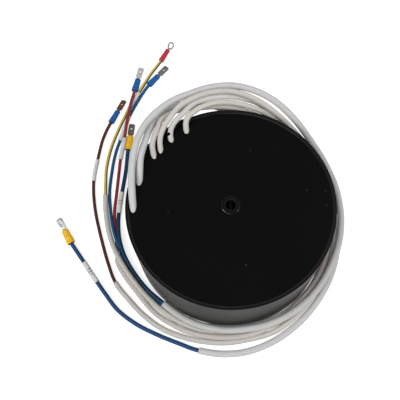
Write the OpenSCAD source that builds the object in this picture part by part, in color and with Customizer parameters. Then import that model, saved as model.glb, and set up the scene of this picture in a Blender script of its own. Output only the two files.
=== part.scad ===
// Potted toroidal transformer: a wound toroid cast into a round black tub,
// with six sleeved leads that run over the rim, down round the tub and along
// the bench to their crimped tabs. Millimetres, +Z up, origin at the middle
// of the base.

/* [Case] */
// Diameter of the tub across its rim
case_d = 184; // [183:0.5:186]
// Height of the tub
case_h = 82; // [81:0.5:83]
// How much narrower the tub is at its base than at its rim
case_draft = 2; // [0:0.5:2]
// Thickness of the tub's wall
wall_t = 2.6; // [2:0.1:4]
// Thickness of the tub's floor
floor_t = 3; // [2:0.5:5]
// Rounding of the rim and of the base edge
edge_r = 0.8; // [0.4:0.1:1.2]
// Depth of the resin's surface below the rim
resin_drop = 1.5; // [0.5:0.1:3]

/* [Mounting tube] */
// Bore for the fixing bolt
bore_d = 8.6; // [6.6:0.2:10]
// Outside diameter of the tube round the bore
tube_d = 15.2; // [13:0.2:18]
// Chamfer at each end of the bore
bore_chamfer = 1; // [0.5:0.1:1.5]

/* [Core and windings] */
// Inside diameter of the strip-wound core
core_id = 76; // [72:1:80]
// Outside diameter of the core
core_od = 142; // [136:1:144]
// Height of the core
core_h = 50; // [44:1:52]
// Height of the core's middle above the base
core_z = 41; // [39:0.5:42]
// Thickness of each layer of insulating tape
tape_t = 1; // [0.5:0.1:1.2]
// Depth of the primary inside the ring, outside it and on its faces
primary_build = [8, 5, 3];
// Number of turns of the secondary
secondary_turns = 46; // [20:1:46]
// Width and depth of one turn of the secondary
secondary_wire = 3; // [2:0.1:3]

/* [Lead pieces] */
// Diameter of the light wires
light_wire_d = 3.3; // [2.8:0.1:3.4]
// Diameter of the heavy wires
heavy_wire_d = 4.1; // [3.8:0.1:4.3]
// Diameter of the glass-fibre sleeves on the light wires
light_sleeve_d = 5.2; // [4.6:0.1:5.2]
// Diameter of the glass-fibre sleeves on the heavy wires
heavy_sleeve_d = 6.4; // [5.8:0.1:6.4]
// Wall of the marker tubes
marker_wall = 0.5; // [0.3:0.1:0.6]

/* [Terminals] */
// Width of the blades
blade_w = 6.3; // [4.8:0.1:6.3]
// Length of the blades
blade_l = 12; // [8:0.5:12.5]
// Thickness of the blades and the ring
blade_t = 0.8; // [0.5:0.1:1]
// Hole in the blades
blade_hole_d = 1.8; // [1.2:0.1:2.2]
// Length of the narrow neck between the barrel and the blade
neck_l = 2; // [1:0.5:3]
// Outside diameter of the ring
ring_od = 8.6; // [7:0.1:9]
// Hole in the ring, for an M5 screw
ring_id = 5.3; // [4.3:0.1:5.3]

// Gap between a wire and the mouth of its insulator
mouth_gap = 0.3; // [0.2:0.05:0.35]

/* [Hidden] */
$fn = 96;
TAB = "tab";
RING = "ring";

// The far ends lie on the bench to the west of the tub. A route's points run
// from the resin to the end of the wire. The first list of each route goes
// round the tub, as [azimuth, distance from the axis, height]; the second
// goes on across the bench, as [x, y, height].
green_yellow_route = concat(round_tub([
    [116.5, 78.5, 77.5], [114, 87, 84], [110.5, 91.5, 86.5], [103, 95.5, 87],
    [95, 97.5, 86.5], [86, 99, 82.5], [76, 99.5, 76.5], [65, 99.5, 69.5],
    [52, 100, 58.5], [38, 99.2, 47.5], [22, 97.5, 36], [5, 97.5, 24.5],
    [-12, 98.5, 13], [-27, 99.5, 5], [-42, 99.5, 3], [-62, 99.3, 3], [-84, 99.3, 3],
    [-105, 99.3, 3], [-121, 99.5, 3.5]
  ]), [
    [-68.5, -72.5, 4], [-78, -63.5, 5], [-88, -52, 7], [-98, -37.5, 7.5],
    [-106, -23.5, 7.5], [-112, -10, 6], [-117, 7, 3.5], [-119.5, 26, 3.5],
    [-120, 45, 3.5], [-120, 59, 2], [-119, 76, 1.7], [-114, 97, 2],
    [-106.5, 116.5, 2], [-99.5, 131.5, 2], [-96, 138.6, 2.2], [-84.6, 158.1, 2.2],
    [-73.4, 176.8, 2.4], [-67.5, 185.2, 2.3], [-60.3, 194.7, 2.8], [-55.5, 201, 4.8]
  ]);
red_route = concat(round_tub([
    [143.5, 81, 78], [138.5, 88.5, 85], [133.5, 93, 87.5], [128.5, 97, 87.5],
    [123.5, 101.5, 86], [113, 103, 81.5], [102, 99, 79.5], [90, 97.5, 78],
    [78, 96, 73], [64, 95, 65.5], [48, 94.5, 55.5], [31, 94.5, 46], [14, 94.7, 35.6],
    [-2, 95, 25.5], [-17, 95.5, 15.5], [-32, 95.5, 9.5], [-48, 95.5, 8.5],
    [-64, 97.5, 8.5], [-79, 101.5, 7.6], [-95, 103, 7], [-112, 104.5, 5],
    [-126, 105, 3.5]
  ]), [
    [-76.5, -73, 3], [-89.5, -56, 2.7], [-100, -41, 3], [-106, -30.5, 3],
    [-109, -22, 2.6], [-109.5, -8, 1.7], [-110.5, 9, 1.7], [-111.5, 26, 1.7],
    [-109.5, 44, 1.7], [-107, 64, 2.5], [-104.5, 82, 4.5], [-102, 94, 5],
    [-100, 105, 5.5], [-97, 124, 6], [-93.5, 141, 6.5], [-90.5, 153, 5.3],
    [-88.5, 160, 4.5], [-86.5, 167, 4.5]
  ]);
blue_route = concat(round_tub([
    [128, 80, 78], [125.3, 86.2, 83.8], [121, 91, 86.5], [113, 95, 89],
    [105, 100.5, 89.5], [96, 102.5, 88], [88, 104, 85], [80, 106, 78.5],
    [71, 108, 68.5], [60, 104, 59], [46, 98.5, 48], [31, 95.5, 37.5], [15, 95, 26],
    [0, 95, 16], [-14, 94.5, 8], [-28, 94, 3], [-42, 94, 3], [-62, 94, 3],
    [-84, 94, 3], [-105, 94, 2.8], [-118, 94, 2.7], [-127, 94.5, 2.6]
  ]), [
    [-67.5, -68, 2], [-76.5, -59, 2], [-88, -48, 1.8], [-98.5, -32.5, 2],
    [-105, -16, 3], [-110, -1, 5.2], [-113.5, 14, 3.6], [-115.5, 32, 2],
    [-116, 51, 1.7], [-112.5, 77, 2], [-109, 92.5, 2], [-105, 104, 2.2],
    [-101, 115, 2.2], [-95, 131, 2.2], [-86.6, 147, 2], [-79.7, 158.6, 2], [-73.2, 167.1, 2.7],
    [-68, 172.4, 2.8]
  ]);
brown_route = concat(round_tub([
    [138.5, 79, 77.5], [133, 87, 85], [127.5, 92, 88.5], [121, 96, 91],
    [113, 101, 93], [104, 103.5, 94], [95, 106, 92], [85, 107, 88.5],
    [74, 106, 81], [62, 102.5, 72.5], [49, 99.5, 62.5], [36, 98, 54],
    [21, 98, 45.5], [5, 98, 34.5], [-10, 99.5, 23.5], [-25, 101, 12],
    [-40, 100.7, 8.5], [-55, 103, 7], [-70, 105, 3.5], [-84, 105.5, 3.5], [-98, 107.5, 3],
    [-113, 110, 3], [-126, 113, 3]
  ]), [
    [-84.5, -77.5, 3], [-99, -61, 3], [-111, -44.5, 3], [-118, -25, 2],
    [-124, -2, 1.7], [-129.5, 24, 2], [-132, 45, 1.7], [-132, 61, 2.2],
    [-130.5, 72.5, 2.2], [-128, 84, 2.2], [-123.5, 104, 1.8], [-118.5, 117, 2],
    [-114, 125, 3], [-110, 132, 3]
  ]);
navy_route = concat(round_tub([
    [181, 85, 77.5], [170, 86.5, 85.5], [163, 89, 87], [156, 92.5, 88.5],
    [147, 97.5, 91], [138, 102.5, 92], [129, 106.5, 91.5], [117, 109.5, 91],
    [106, 110.5, 90], [96, 112.5, 89], [86, 114, 87], [76, 114, 82.5],
    [65, 112, 76], [53, 107.5, 68.5], [40, 103, 61], [27, 102, 53.5],
    [13, 103, 44.5], [-1, 103.5, 35.5], [-14, 103.2, 25.5], [-27, 101.5, 18],
    [-41, 100.5, 14.5], [-56, 99.5, 14.5], [-70, 98.5, 14], [-83, 97, 11.3], [-97, 96.5, 8.5],
    [-112, 96, 8.5], [-124, 95, 8.5]
  ]), [
    [-65.5, -68, 8], [-80.5, -53.5, 5.5], [-92.5, -37, 4.5], [-101.5, -20, 6.2],
    [-106, -4, 6.8], [-107.5, 12, 4], [-107, 25, 3], [-105.5, 36, 3],
    [-103.5, 47, 3], [-99.5, 70, 2.5], [-97.5, 88, 2.5], [-96.5, 95, 3],
    [-95.5, 101, 3]
  ]);
royal_route = concat(round_tub([
    [163.5, 83, 77.5], [154.5, 86.5, 84.5], [147.5, 91, 86.5], [138.5, 96.5, 86],
    [132.5, 101.5, 84.5], [126.5, 106, 82], [118, 111, 77.5], [107, 109, 75],
    [95, 102.5, 71], [81, 97, 65], [66, 96, 56], [51, 95.5, 45.5], [36, 96, 34.5],
    [20, 97.5, 23], [5, 101.5, 12], [-10, 104.5, 5], [-25, 105.5, 3.5], [-40, 106.5, 3.5],
    [-55, 109, 3.5], [-70, 112.5, 3.5], [-84, 116, 3.5], [-96, 117.5, 3.5]
  ]), [
    [-35, -112.5, 3.5], [-53, -105, 2.5], [-72.5, -96, 2.5], [-92, -85, 2.5],
    [-109, -71, 2.5], [-121, -54.5, 2.5], [-128.5, -43, 3], [-135, -33, 3],
    [-141, -23, 3], [-149.5, -9.5, 3], [-153.5, -3, 3.5], [-157, 4, 3.5]
  ]);

// Each lead: name, route, index of the point where its sleeve ends, indices of
// the marker's two ends, roll of the terminal, whether it is heavy, kind of
// terminal.
LEADS = [
    ["green_yellow", green_yellow_route, 27, 33, 34, 62, false, RING],
    ["red", red_route, 26, 32, 34, 12, false, TAB],
    ["blue", blue_route, 21, 33, 35, -6, false, TAB],
    ["brown", brown_route, 25, 30, 32, -18, false, TAB],
    ["navy", navy_route, 27, 33, 35, 4, true, TAB],
    ["royal", royal_route, 22, 28, 30, -10, true, TAB]
];
PIECES = ["sleeve", "wire", "marker", "insulator", "terminal"];
BODY_NODES = ["case", "potting", "core", "core_tape", "primary_winding", "winding_tape",
              "secondary_winding", "outer_tape"];

case_r = case_d / 2;
base_r = case_r - case_draft / 2;
resin_z = case_h - resin_drop;
tube_r = tube_d / 2;
bore_r = bore_d / 2;
arc_steps = 4;
curve_steps = 2;
hose_sides = 8;

function round_tub(points) = [for (p = points) [p[1] * cos(p[0]), p[1] * sin(p[0]), p[2]]];

// ---- Smooth curve through a route's points ----

function route_point(p, i) =
    i < 0 ? 2 * p[0] - p[1] :
    i >= len(p) ? 2 * p[len(p) - 1] - p[len(p) - 2] : p[i];

function on_span(p, i, t) =
    let (a = route_point(p, i - 1), b = p[i], c = route_point(p, i + 1), d = route_point(p, i + 2))
    b + 0.5 * t * (c - a + t * (2 * a - 5 * b + 4 * c - d + t * (3 * (b - c) + d - a)));

function curve(p) = concat(
    [for (i = [0:len(p) - 2]) for (k = [0:curve_steps - 1]) on_span(p, i, k / curve_steps)],
    [p[len(p) - 1]]);

function unit(v) = v / norm(v);

function heading(c, i) = unit(c[min(i + 1, len(c) - 1)] - c[max(i - 1, 0)]);

// A ring of points round sample i of the curve c
function ring_at(c, i, r) =
    let (t = heading(c, i), side = unit(cross([0, 0, 1], t)), top = cross(t, side))
    [for (k = [0:hose_sides - 1])
        let (a = (k + 0.5) * 360 / hose_sides)
        c[i] + r * (cos(a) * side + sin(a) * top)];

function skin(rows, n) = [
    for (j = [0:rows - 2]) for (k = [0:n - 1])
        [j * n + k, j * n + (k + 1) % n, (j + 1) * n + (k + 1) % n, (j + 1) * n + k]];

function flip(faces) = [for (f = faces) [for (k = [len(f) - 1:-1:0]) f[k]]];

function shift(faces, by) = [for (f = faces) [for (v = f) v + by]];

// A solid round hose along samples a to b of the curve c
module hose(c, a, b, d) {
    n = hose_sides;
    rows = b - a + 1;
    points = [for (i = [a:b]) each ring_at(c, i, d / 2)];
    ends = [[for (k = [n - 1:-1:0]) k], [for (k = [0:n - 1]) (rows - 1) * n + k]];
    polyhedron(points, flip(concat(skin(rows, n), ends)), convexity = 8);
}

// A thin tube that fits the hose of diameter d_in along the same samples
module tube(c, a, b, d_in, d_out) {
    n = hose_sides;
    rows = b - a + 1;
    outer = [for (i = [a:b]) each ring_at(c, i, d_out / 2)];
    inner = [for (i = [a:b]) each ring_at(c, i, d_in / 2)];
    m = rows * n;
    last = (rows - 1) * n;
    caps = [for (k = [0:n - 1]) each [
        [k, k + m, (k + 1) % n + m, (k + 1) % n],
        [last + (k + 1) % n, last + (k + 1) % n + m, last + k + m, last + k]]];
    faces = concat(skin(rows, n), flip(shift(skin(rows, n), m)), caps);
    polyhedron(concat(outer, inner), flip(faces), convexity = 8);
}

// ---- Sections of the wound ring ----

module rounded_box(w, h, r) {
    square([w - 2 * r, h], center = true);
    square([w, h - 2 * r], center = true);
    for (x = [-1, 1], y = [-1, 1])
        translate([x * (w / 2 - r), y * (h / 2 - r)]) circle(r, $fn = 24);
}

// How far each layer's outside stands from the core: inside the ring, outside
// it and on its two faces
core_skin = [0, 0, 0];
core_tape_skin = core_skin + [1, 1, 1] * tape_t;
primary_skin = core_tape_skin + primary_build;
winding_tape_skin = primary_skin + [1, 1, 1] * tape_t;
secondary_skin = winding_tape_skin + [1, 1, 1] * secondary_wire;
outer_tape_skin = secondary_skin + [1, 1, 1] * tape_t;

module section(skin, corner) {
    r_in = core_id / 2 - skin[0];
    r_out = core_od / 2 + skin[1];
    translate([(r_in + r_out) / 2, core_z])
        rounded_box(r_out - r_in, core_h + 2 * skin[2], corner);
}

function corner_of(skin) = 1 + 0.6 * max(skin[2], 0);

module layer(inside, outside) {
    rotate_extrude() difference() {
        section(outside, corner_of(outside));
        section(inside, corner_of(inside));
    }
}

// ---- Case and what it holds ----

// Quarter of a rounded edge of radius r about [x, y], from angle a to b
function edge_arc(x, y, r, a, b) = [
    for (k = [0:arc_steps])
        let (t = a + (b - a) * k / arc_steps) [x + r * cos(t), y + r * sin(t)]];

module case() {
    wall_in = case_r - wall_t;
    base_in = base_r - wall_t;
    profile = concat(
        [[bore_r + bore_chamfer, 0]],
        edge_arc(base_r - edge_r, edge_r, edge_r, -90, 0),
        edge_arc(case_r - edge_r, case_h - edge_r, edge_r, 0, 90),
        [[wall_in, case_h], [base_in, floor_t], [tube_r, floor_t]],
        edge_arc(tube_r - edge_r, case_h - edge_r, edge_r, 0, 90),
        [[bore_r + bore_chamfer, case_h], [bore_r, case_h - bore_chamfer], [bore_r, bore_chamfer]]);
    color("#17171a") rotate_extrude() polygon(profile);
}

module potting() {
    color("#101012") rotate_extrude() difference() {
        intersection() {
            translate([tube_r, floor_t]) square([case_r, resin_z - floor_t]);
            polygon([[0, floor_t], [base_r - wall_t, floor_t], [case_r - wall_t, case_h], [0, case_h]]);
        }
        section(outer_tape_skin, corner_of(outer_tape_skin));
    }
}

module core() {
    color("#8d9196") rotate_extrude() section(core_skin, corner_of(core_skin));
}

module core_tape() {
    color("#e8dcae") layer(core_skin, core_tape_skin);
}

module primary_winding() {
    color("#b5602c") layer(core_tape_skin, primary_skin);
}

module winding_tape() {
    color("#efe6c2") layer(primary_skin, winding_tape_skin);
}

// The heavy winding is one layer of separate turns, close together in the
// hole of the ring and fanned apart round its outside
module secondary_winding() {
    half = secondary_wire / 2;
    color("#c06a33")
        for (i = [0:secondary_turns - 1])
            rotate([90, 0, i * 360 / secondary_turns])
                translate([0, 0, -half]) linear_extrude(secondary_wire) difference() {
                    section(secondary_skin, corner_of(secondary_skin));
                    section(winding_tape_skin, corner_of(winding_tape_skin));
                }
}

module outer_tape() {
    color("#f0ead0") layer(secondary_skin, outer_tape_skin);
}

// ---- Leads ----

function is_heavy(lead) = lead[6];
function wire_d(lead) = is_heavy(lead) ? heavy_wire_d : light_wire_d;
function sleeve_d(lead) = is_heavy(lead) ? heavy_sleeve_d : light_sleeve_d;
function lead_color(lead, names) = names[search([lead[0]], [for (l = LEADS) l[0]])[0]];

module sleeve(lead) {
    c = curve(lead[1]);
    color("#dcdbd6") difference() {
        hose(c, 0, lead[2] * curve_steps, sleeve_d(lead));
        cylinder(r = case_r - wall_t / 2, h = resin_z);
    }
}

module wire(lead) {
    c = curve(lead[1]);
    color(lead_color(lead, ["#c7b13a", "#8e2f33", "#16518c", "#4a2826", "#1d2f66", "#24447e"]))
        hose(c, lead[2] * curve_steps, len(c) - 1, wire_d(lead));
}

module marker(lead) {
    d = wire_d(lead);
    color("#e9e9e6")
        tube(curve(lead[1]), lead[3] * curve_steps, lead[4] * curve_steps, d, d + 2 * marker_wall);
}

// Puts a piece at the end of a lead's wire, pointing the way the wire points
module at_end(lead) {
    p = lead[1];
    end = p[len(p) - 1];
    way = unit(end - p[len(p) - 2]);
    translate(end)
        rotate([0, -asin(way[2]), atan2(way[1], way[0])])
            rotate([lead[5], 0, 0])
                rotate([90, 0, 90]) children();
}

// Width and height of the crimped insulator, its length before and behind the
// end of the wire, and the diameter of the barrel inside it
function grip(lead) =
    lead[7] == RING ? [5.5, 5, 6.5, 8, 2.8] :
    is_heavy(lead) ? [7.5, 5.8, 7, 8, 4.2] : [6.5, 5, 6.5, 8, 3.2];

module oblong(w, h) {
    square([w - h, h], center = true);
    for (x = [-1, 1]) translate([x * (w - h) / 2, 0]) circle(h / 2, $fn = 32);
}

module insulator(lead) {
    g = grip(lead);
    mouth_d = wire_d(lead) + 2 * mouth_gap;
    color(lead[7] == RING ? "#b23a48" : is_heavy(lead) ? "#f0b323" : "#15589f") at_end(lead) difference() {
        union() {
            translate([0, 0, -g[3]]) linear_extrude(g[3] - 1) oblong(g[0], g[1]);
            translate([0, 0, -1]) linear_extrude(g[2] + 1) oblong(g[0] - 0.9, g[1] - 0.5);
        }
        translate([0, 0, -g[3] - 1]) cylinder(d = mouth_d, h = g[3] + 1, $fn = 32);
        translate([0, 0, -1]) cylinder(d = g[4], h = g[2] + 2, $fn = 32);
    }
}

module blade() {
    cut = 1.2;
    half = blade_w / 2;
    difference() {
        polygon([[-half, 0], [-half, blade_l - cut], [-half + cut, blade_l],
                 [half - cut, blade_l], [half, blade_l - cut], [half, 0]]);
        translate([0, blade_l * 0.55]) circle(d = blade_hole_d, $fn = 24);
    }
}

module eye() {
    difference() {
        circle(d = ring_od, $fn = 48);
        circle(d = ring_id, $fn = 48);
    }
}

module terminal(lead) {
    g = grip(lead);
    neck_w = g[4] - 0.4;
    color("#b9b8b2") at_end(lead) {
        cylinder(d = g[4], h = g[2], $fn = 32);
        translate([0, -blade_t / 2, g[2]]) rotate([90, 0, 0]) translate([0, 0, -blade_t]) {
            linear_extrude(blade_t) translate([-neck_w / 2, -1]) square([neck_w, neck_l + 1.5]);
            if (lead[7] == RING)
                translate([0, neck_l + ring_od / 2 - 1.2]) linear_extrude(blade_t) eye();
            else
                translate([0, neck_l]) linear_extrude(blade_t) blade();
        }
    }
}

case();
potting();
core();
core_tape();
primary_winding();
winding_tape();
secondary_winding();
outer_tape();
for (lead = LEADS) {
    sleeve(lead);
    wire(lead);
    marker(lead);
    insulator(lead);
    terminal(lead);
}
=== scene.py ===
from collections import namedtuple
from math import asin, atan2, cos, exp, pi, radians, sin, tau

import bmesh
import bpy
from mathutils import Matrix, Vector


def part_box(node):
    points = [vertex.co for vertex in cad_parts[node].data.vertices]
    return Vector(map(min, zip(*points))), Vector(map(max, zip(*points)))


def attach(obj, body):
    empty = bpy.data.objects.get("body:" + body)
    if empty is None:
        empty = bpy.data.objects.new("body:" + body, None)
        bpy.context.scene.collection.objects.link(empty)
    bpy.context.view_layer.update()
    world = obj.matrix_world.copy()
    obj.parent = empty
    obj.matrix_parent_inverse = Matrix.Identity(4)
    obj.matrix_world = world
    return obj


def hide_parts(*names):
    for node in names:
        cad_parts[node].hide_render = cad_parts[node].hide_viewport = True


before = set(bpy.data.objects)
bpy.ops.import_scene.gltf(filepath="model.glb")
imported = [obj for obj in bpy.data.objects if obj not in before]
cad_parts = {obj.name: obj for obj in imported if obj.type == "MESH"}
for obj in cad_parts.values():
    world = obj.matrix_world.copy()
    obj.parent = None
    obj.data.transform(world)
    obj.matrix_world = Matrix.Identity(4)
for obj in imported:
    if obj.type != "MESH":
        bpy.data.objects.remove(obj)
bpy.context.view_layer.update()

MM = 0.001

# ---------------------------------------------------------------- sizes, mm

CASE_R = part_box("case")[1][0] / MM
CASE_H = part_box("case")[1][2] / MM
WALL_IN = CASE_R - 2.6
RESIN_Z = CASE_H - 1.5
TUBE_R = 7.6
BORE_R = 4.3

# The two sizes of lead, by their outer diameters and the sleeve's bore
LIGHT = {"wire": 3.3, "sleeve": 5.2, "bore": 3.9}
HEAVY = {"wire": 4.1, "sleeve": 6.4, "bore": 5.0}
MARKER_WALL = 0.5
TAB = "tab"
RING = "ring"


def round_tub(points):
    """Turns azimuths in degrees and distances from the axis into x and y."""
    return [(r * cos(radians(a)), r * sin(radians(a)), z) for a, r, z in points]


# Each route runs from the resin to the end of its wire. The first list goes
# round the tub, as azimuth, distance from the axis and height; the second
# goes on across the bench, as x, y and height.
GREEN_YELLOW_ROUTE = round_tub([
    (116.5, 78.5, 77.5), (114, 87, 84), (110.5, 91.5, 86.5), (103, 95.5, 87), (95, 97.5, 86.5),
    (86, 99, 82.5), (76, 99.5, 76.5), (65, 99.5, 69.5), (52, 100, 58.5), (38, 99.2, 47.5),
    (22, 97.5, 36), (5, 97.5, 24.5), (-12, 98.5, 13), (-27, 99.5, 5), (-42, 99.5, 3),
    (-62, 99.3, 3), (-84, 99.3, 3), (-105, 99.3, 3), (-121, 99.5, 3.5)
]) + [
    (-68.5, -72.5, 4), (-78, -63.5, 5), (-88, -52, 7), (-98, -37.5, 7.5), (-106, -23.5, 7.5),
    (-112, -10, 6), (-117, 7, 3.5), (-119.5, 26, 3.5), (-120, 45, 3.5), (-120, 59, 2),
    (-119, 76, 1.7), (-114, 97, 2), (-106.5, 116.5, 2), (-99.5, 131.5, 2), (-96, 138.6, 2.2),
    (-84.6, 158.1, 2.2), (-73.4, 176.8, 2.4), (-67.5, 185.2, 2.3), (-60.3, 194.7, 2.8),
    (-55.5, 201, 4.8)
]

RED_ROUTE = round_tub([
    (143.5, 81, 78), (138.5, 88.5, 85), (133.5, 93, 87.5), (128.5, 97, 87.5),
    (123.5, 101.5, 86), (113, 103, 81.5), (102, 99, 79.5), (90, 97.5, 78), (78, 96, 73),
    (64, 95, 65.5), (48, 94.5, 55.5), (31, 94.5, 46), (14, 94.7, 35.6), (-2, 95, 25.5),
    (-17, 95.5, 15.5), (-32, 95.5, 9.5), (-48, 95.5, 8.5), (-64, 97.5, 8.5), (-79, 101.5, 7.6),
    (-95, 103, 7), (-112, 104.5, 5), (-126, 105, 3.5)
]) + [
    (-76.5, -73, 3), (-89.5, -56, 2.7), (-100, -41, 3), (-106, -30.5, 3), (-109, -22, 2.6),
    (-109.5, -8, 1.7), (-110.5, 9, 1.7), (-111.5, 26, 1.7), (-109.5, 44, 1.7), (-107, 64, 2.5),
    (-104.5, 82, 4.5), (-102, 94, 5), (-100, 105, 5.5), (-97, 124, 6), (-93.5, 141, 6.5),
    (-90.5, 153, 5.3), (-88.5, 160, 4.5), (-86.5, 167, 4.5)
]

BLUE_ROUTE = round_tub([
    (128, 80, 78), (125.3, 86.2, 83.8), (121, 91, 86.5), (113, 95, 89), (105, 100.5, 89.5),
    (96, 102.5, 88), (88, 104, 85), (80, 106, 78.5), (71, 108, 68.5), (60, 104, 59),
    (46, 98.5, 48), (31, 95.5, 37.5), (15, 95, 26), (0, 95, 16), (-14, 94.5, 8), (-28, 94, 3),
    (-42, 94, 3), (-62, 94, 3), (-84, 94, 3), (-105, 94, 2.8), (-118, 94, 2.7),
    (-127, 94.5, 2.6)
]) + [
    (-67.5, -68, 2), (-76.5, -59, 2), (-88, -48, 1.8), (-98.5, -32.5, 2), (-105, -16, 3),
    (-110, -1, 5.2), (-113.5, 14, 3.6), (-115.5, 32, 2), (-116, 51, 1.7), (-112.5, 77, 2),
    (-109, 92.5, 2), (-105, 104, 2.2), (-101, 115, 2.2), (-95, 131, 2.2), (-86.6, 147, 2),
    (-79.7, 158.6, 2), (-73.2, 167.1, 2.7), (-68, 172.4, 2.8)
]

BROWN_ROUTE = round_tub([
    (138.5, 79, 77.5), (133, 87, 85), (127.5, 92, 88.5), (121, 96, 91), (113, 101, 93),
    (104, 103.5, 94), (95, 106, 92), (85, 107, 88.5), (74, 106, 81), (62, 102.5, 72.5),
    (49, 99.5, 62.5), (36, 98, 54), (21, 98, 45.5), (5, 98, 34.5), (-10, 99.5, 23.5),
    (-25, 101, 12), (-40, 100.7, 8.5), (-55, 103, 7), (-70, 105, 3.5), (-84, 105.5, 3.5),
    (-98, 107.5, 3), (-113, 110, 3), (-126, 113, 3)
]) + [
    (-84.5, -77.5, 3), (-99, -61, 3), (-111, -44.5, 3), (-118, -25, 2), (-124, -2, 1.7),
    (-129.5, 24, 2), (-132, 45, 1.7), (-132, 61, 2.2), (-130.5, 72.5, 2.2), (-128, 84, 2.2),
    (-123.5, 104, 1.8), (-118.5, 117, 2), (-114, 125, 3), (-110, 132, 3)
]

NAVY_ROUTE = round_tub([
    (181, 85, 77.5), (170, 86.5, 85.5), (163, 89, 87), (156, 92.5, 88.5), (147, 97.5, 91),
    (138, 102.5, 92), (129, 106.5, 91.5), (117, 109.5, 91), (106, 110.5, 90), (96, 112.5, 89),
    (86, 114, 87), (76, 114, 82.5), (65, 112, 76), (53, 107.5, 68.5), (40, 103, 61),
    (27, 102, 53.5), (13, 103, 44.5), (-1, 103.5, 35.5), (-14, 103.2, 25.5), (-27, 101.5, 18),
    (-41, 100.5, 14.5), (-56, 99.5, 14.5), (-70, 98.5, 14), (-83, 97, 11.3), (-97, 96.5, 8.5),
    (-112, 96, 8.5), (-124, 95, 8.5)
]) + [
    (-65.5, -68, 8), (-80.5, -53.5, 5.5), (-92.5, -37, 4.5), (-101.5, -20, 6.2),
    (-106, -4, 6.8), (-107.5, 12, 4), (-107, 25, 3), (-105.5, 36, 3), (-103.5, 47, 3),
    (-99.5, 70, 2.5), (-97.5, 88, 2.5), (-96.5, 95, 3), (-95.5, 101, 3)
]

ROYAL_ROUTE = round_tub([
    (163.5, 83, 77.5), (154.5, 86.5, 84.5), (147.5, 91, 86.5), (138.5, 96.5, 86),
    (132.5, 101.5, 84.5), (126.5, 106, 82), (118, 111, 77.5), (107, 109, 75), (95, 102.5, 71),
    (81, 97, 65), (66, 96, 56), (51, 95.5, 45.5), (36, 96, 34.5), (20, 97.5, 23),
    (5, 101.5, 12), (-10, 104.5, 5), (-25, 105.5, 3.5), (-40, 106.5, 3.5), (-55, 109, 3.5),
    (-70, 112.5, 3.5), (-84, 116, 3.5), (-96, 117.5, 3.5)
]) + [
    (-35, -112.5, 3.5), (-53, -105, 2.5), (-72.5, -96, 2.5), (-92, -85, 2.5), (-109, -71, 2.5),
    (-121, -54.5, 2.5), (-128.5, -43, 3), (-135, -33, 3), (-141, -23, 3), (-149.5, -9.5, 3),
    (-153.5, -3, 3.5), (-157, 4, 3.5)
]


# A lead has its size and kind of terminal, its route, the index of the point
# where its sleeve ends and those of its marker's two ends, the number on the
# marker and how far round that is printed, the terminal's roll, and the side
# of the blade that its seam is on: 1 is up and -1 is down.
Lead = namedtuple("Lead", "size kind route sleeve_end marker_ends number number_turn roll seam")

LEADS = {
    "green_yellow": Lead(LIGHT, RING, GREEN_YELLOW_ROUTE, 27, (33, 34), "5", 280, 62, 1),
    "red": Lead(LIGHT, TAB, RED_ROUTE, 26, (32, 34), "1", 280, 12, 1),
    "blue": Lead(LIGHT, TAB, BLUE_ROUTE, 21, (33, 35), "2", 250, -6, -1),
    "brown": Lead(LIGHT, TAB, BROWN_ROUTE, 25, (30, 32), "3", 260, -18, -1),
    "navy": Lead(HEAVY, TAB, NAVY_ROUTE, 27, (33, 35), "12", 100, 4, -1),
    "royal": Lead(HEAVY, TAB, ROYAL_ROUTE, 22, (28, 30), "123", 100, -10, 1),
}

# ------------------------------------------------------------- cord geometry

STEPS = 16  # samples to a span of a route
WIRE_SIDES = 20
SLEEVE_SIDES = 28
MERGE_GAP = 1e-5


def smooth(points):
    """The even curve through a route's points, STEPS samples to a span."""
    p = [Vector(q) for q in points]
    p = [2 * p[0] - p[1]] + p + [2 * p[-1] - p[-2]]
    out = []
    for i in range(1, len(p) - 2):
        a, b, c, d = p[i - 1:i + 3]
        for k in range(STEPS):
            t = k / STEPS
            curve = 2 * a - 5 * b + 4 * c - d + t * (3 * (b - c) + d - a)
            out.append(b + 0.5 * t * (c - a + t * curve))
    out.append(p[-2])
    return out


def lengths_along(line):
    """How far along a line each of its points is."""
    total = [0.0]
    for a, b in zip(line, line[1:]):
        total.append(total[-1] + (b - a).length)
    return total


def evenly(line, step):
    """Points about step apart along a line, its two ends among them."""
    along = lengths_along(line)
    count = max(2, round(along[-1] / step))
    out = []
    i = 0
    for k in range(count + 1):
        want = along[-1] * k / count
        while i < len(line) - 2 and along[i + 1] < want:
            i += 1
        t = (want - along[i]) / max(along[i + 1] - along[i], 1e-9)
        out.append(line[i].lerp(line[i + 1], min(t, 1.0)))
    return out


def headings(line):
    """Which way a line runs at each of its points."""
    last = len(line) - 1
    return [(line[min(i + 1, last)] - line[max(i - 1, 0)]).normalized()
            for i in range(last + 1)]


def finish_piece(bm, name, smooth_shade=True):
    """A new object from a bmesh in millimetres."""
    bmesh.ops.scale(bm, vec=(MM, MM, MM), verts=bm.verts)
    mesh = bpy.data.meshes.new(name)
    bm.to_mesh(mesh)
    bm.free()
    for face in mesh.polygons:
        face.use_smooth = smooth_shade
    piece = bpy.data.objects.new(name, mesh)
    bpy.context.scene.collection.objects.link(piece)
    return piece


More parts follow.
